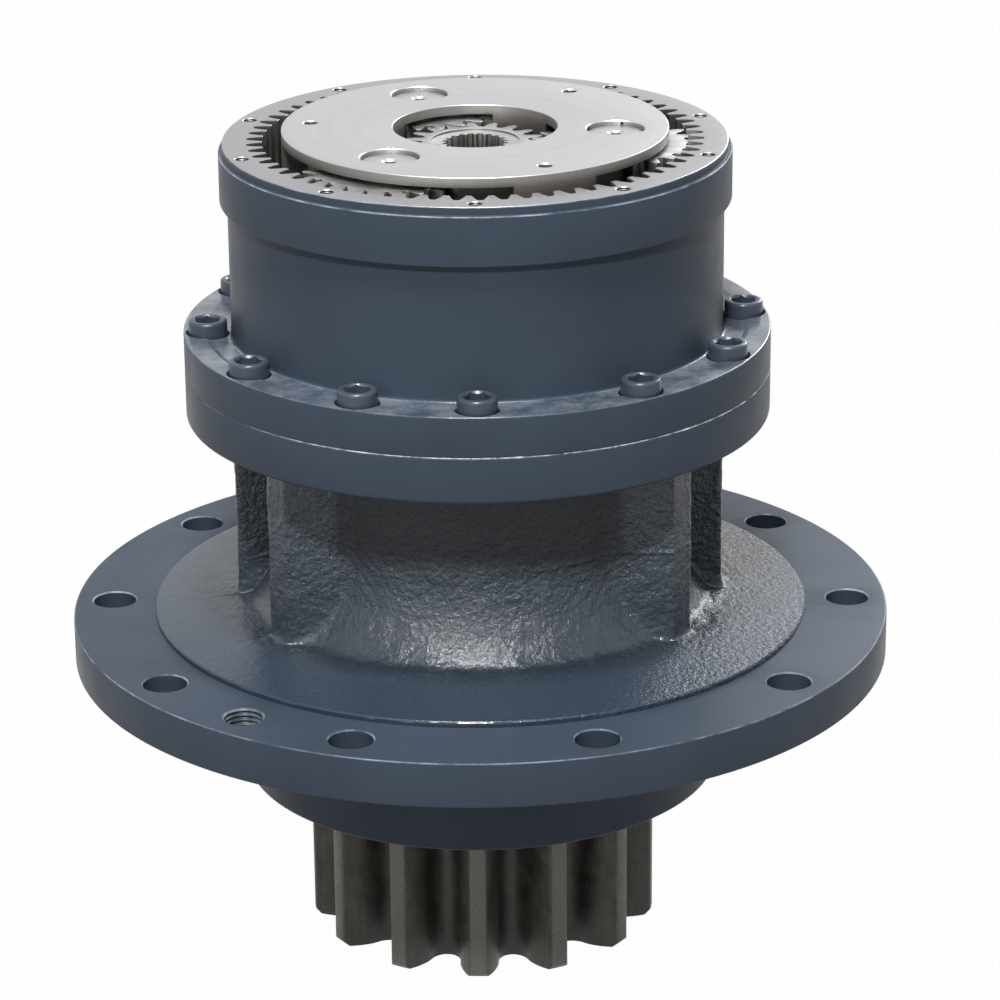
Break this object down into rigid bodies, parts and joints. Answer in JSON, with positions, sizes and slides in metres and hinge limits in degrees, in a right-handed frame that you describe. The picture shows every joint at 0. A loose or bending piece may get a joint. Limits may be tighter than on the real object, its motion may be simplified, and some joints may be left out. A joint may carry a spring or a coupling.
{
  "type": "swing drive gearbox",
  "caption": "Two-stage planetary swing reducer with a flanged housing, open ring gear top and a large output pinion below.",
  "frame": {"origin": "centre of the pinion end face, which is the lowest face", "axes": "+Z along the output axis, from the pinion up to the open ring gear; -Y towards the jacking hole seen in the picture"},
  "size_m": [0.42, 0.42, 0.4275],
  "materials": {
    "slate_paint": "satin slate blue-grey paint",
    "machined_steel": "ground and turned bright steel",
    "pinion_steel": "dark hardened steel with a brown tinge",
    "bearing_steel": "polished bearing steel",
    "dark_fastener": "black oxide",
    "bush_bronze": "turned bronze",
    "seal_rubber": "matt black"
  },
  "bodies": {
    "housing": {"lower_housing": "slate_paint", "ring_gear": "slate_paint", "joint_bolt_01": "slate_paint", "joint_bolt_02": "slate_paint", "joint_bolt_03": "slate_paint", "joint_bolt_04": "slate_paint", "joint_bolt_05": "slate_paint", "joint_bolt_06": "slate_paint", "joint_bolt_07": "slate_paint", "joint_bolt_08": "slate_paint", "joint_bolt_09": "slate_paint", "joint_bolt_10": "slate_paint", "joint_bolt_11": "slate_paint", "joint_bolt_12": "slate_paint", "lower_bearing_outer_race": "bearing_steel", "upper_bearing_outer_race": "bearing_steel", "oil_seal": "seal_rubber"},
    "output": {"output_shaft": "pinion_steel", "stage2_carrier": "machined_steel", "lower_bearing_inner_race": "bearing_steel", "upper_bearing_inner_race": "bearing_steel", "bearing_spacer": "bearing_steel", "shaft_end_plate": "machined_steel", "end_plate_bolt_1": "dark_fastener", "end_plate_bolt_2": "dark_fastener", "end_plate_bolt_3": "dark_fastener", "stage2_planet_pin_a": "machined_steel", "stage2_planet_pin_b": "machined_steel", "stage2_planet_pin_c": "machined_steel", "stage2_pin_lock_a": "dark_fastener", "stage2_pin_lock_b": "dark_fastener", "stage2_pin_lock_c": "dark_fastener"},
    "first_carrier": {"stage1_carrier": "machined_steel", "stage2_sun": "machined_steel", "thrust_button": "bush_bronze", "stage1_planet_pin_a": "machined_steel", "stage1_planet_pin_b": "machined_steel", "stage1_planet_pin_c": "machined_steel", "stage1_pin_lock_a": "dark_fastener", "stage1_pin_lock_b": "dark_fastener", "stage1_pin_lock_c": "dark_fastener"},
    "input_sun": {"stage1_sun": "machined_steel"},
    "lower_cage": {"lower_bearing_rollers": "bearing_steel"},
    "upper_cage": {"upper_bearing_rollers": "bearing_steel"},
    "first_planet_a": {"stage1_planet_a": "machined_steel", "stage1_planet_bush_a": "bush_bronze"},
    "first_planet_b": {"stage1_planet_b": "machined_steel", "stage1_planet_bush_b": "bush_bronze"},
    "first_planet_c": {"stage1_planet_c": "machined_steel", "stage1_planet_bush_c": "bush_bronze"},
    "second_planet_a": {"stage2_planet_a": "machined_steel", "stage2_planet_bush_a": "bush_bronze"},
    "second_planet_b": {"stage2_planet_b": "machined_steel", "stage2_planet_bush_b": "bush_bronze"},
    "second_planet_c": {"stage2_planet_c": "machined_steel", "stage2_planet_bush_c": "bush_bronze"}
  },
  "joints": [
    {"name": "output_turn", "type": "hinge", "parent": "housing", "child": "output", "pos_m": [0, 0, 0.2], "axis": [0, 0, 1], "continuous": true},
    {"name": "first_carrier_turn", "type": "hinge", "parent": "housing", "child": "first_carrier", "pos_m": [0, 0, 0.4], "axis": [0, 0, 1], "continuous": true},
    {"name": "input_sun_turn", "type": "hinge", "parent": "housing", "child": "input_sun", "pos_m": [0, 0, 0.405], "axis": [0, 0, 1], "continuous": true},
    {"name": "first_planet_a_turn", "type": "hinge", "parent": "first_carrier", "child": "first_planet_a", "pos_m": [0.06959, -0.00756, 0.405], "axis": [0, 0, 1], "continuous": true},
    {"name": "first_planet_b_turn", "type": "hinge", "parent": "first_carrier", "child": "first_planet_b", "pos_m": [-0.02825, 0.06405, 0.405], "axis": [0, 0, 1], "continuous": true},
    {"name": "first_planet_c_turn", "type": "hinge", "parent": "first_carrier", "child": "first_planet_c", "pos_m": [-0.04134, -0.05649, 0.405], "axis": [0, 0, 1], "continuous": true},
    {"name": "second_planet_a_turn", "type": "hinge", "parent": "output", "child": "second_planet_a", "pos_m": [0.06365, 0.03675, 0.346], "axis": [0, 0, 1], "continuous": true},
    {"name": "second_planet_b_turn", "type": "hinge", "parent": "output", "child": "second_planet_b", "pos_m": [-0.06365, 0.03675, 0.346], "axis": [0, 0, 1], "continuous": true},
    {"name": "second_planet_c_turn", "type": "hinge", "parent": "output", "child": "second_planet_c", "pos_m": [0, -0.0735, 0.346], "axis": [0, 0, 1], "continuous": true},
    {"name": "lower_cage_turn", "type": "hinge", "parent": "housing", "child": "lower_cage", "pos_m": [0, 0, 0.129], "axis": [0, 0, 1], "continuous": true},
    {"name": "upper_cage_turn", "type": "hinge", "parent": "housing", "child": "upper_cage", "pos_m": [0, 0, 0.26], "axis": [0, 0, 1], "continuous": true}
  ],
  "couplings": [
    {"joint": "first_carrier_turn", "follows": "output_turn", "ratio": 4},
    {"joint": "input_sun_turn", "follows": "output_turn", "ratio": 18},
    {"joint": "first_planet_a_turn", "follows": "output_turn", "ratio": -11.455},
    {"joint": "first_planet_b_turn", "follows": "output_turn", "ratio": -11.455},
    {"joint": "first_planet_c_turn", "follows": "output_turn", "ratio": -11.455},
    {"joint": "second_planet_a_turn", "follows": "output_turn", "ratio": -3},
    {"joint": "second_planet_b_turn", "follows": "output_turn", "ratio": -3},
    {"joint": "second_planet_c_turn", "follows": "output_turn", "ratio": -3},
    {"joint": "lower_cage_turn", "follows": "output_turn", "ratio": 0.4525},
    {"joint": "upper_cage_turn", "follows": "output_turn", "ratio": 0.4403}
  ]
}
